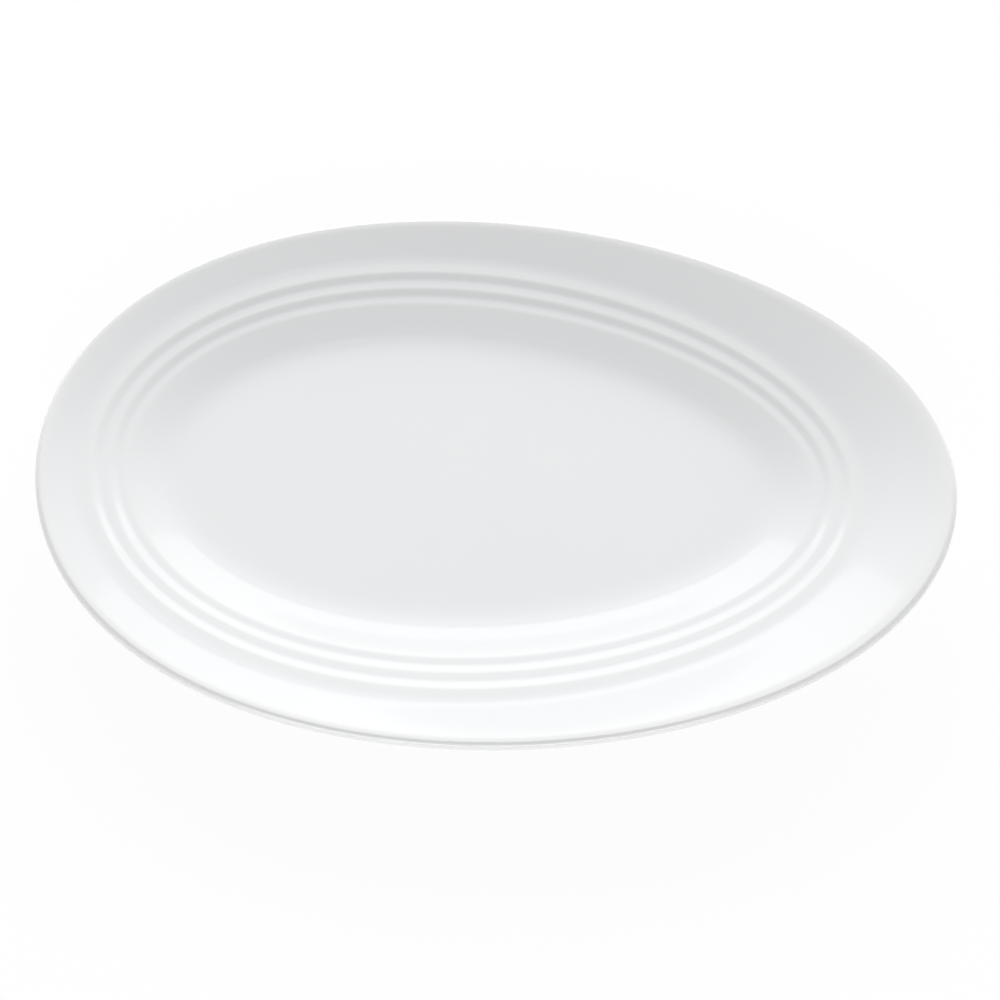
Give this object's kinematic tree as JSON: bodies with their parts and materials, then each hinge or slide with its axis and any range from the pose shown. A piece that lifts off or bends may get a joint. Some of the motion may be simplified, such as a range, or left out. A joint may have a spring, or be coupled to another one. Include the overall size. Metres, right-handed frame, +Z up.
{
  "type": "oval plate",
  "caption": "White glazed porcelain plate with an egg-shaped oval outline, a sloping rim that widens and rises towards its pointed end, shallow concentric steps and a flat off-centre well.",
  "frame": {"origin": "on the table, under the middle of the lip's outline", "axes": "+X towards the pointed end, where the rim is widest; +Y across the plate, towards the back of the picture; +Z up out of the well"},
  "size_m": [0.32, 0.2122, 0.0206],
  "materials": {
    "bisque": "matte, bare fired porcelain on the foot ring",
    "glaze": "glossy clear white glaze"
  },
  "bodies": {
    "root": {"porcelain_body": "bisque", "glaze_coat": "glaze", "foot_recess_glaze": "glaze"}
  },
  "joints": []
}
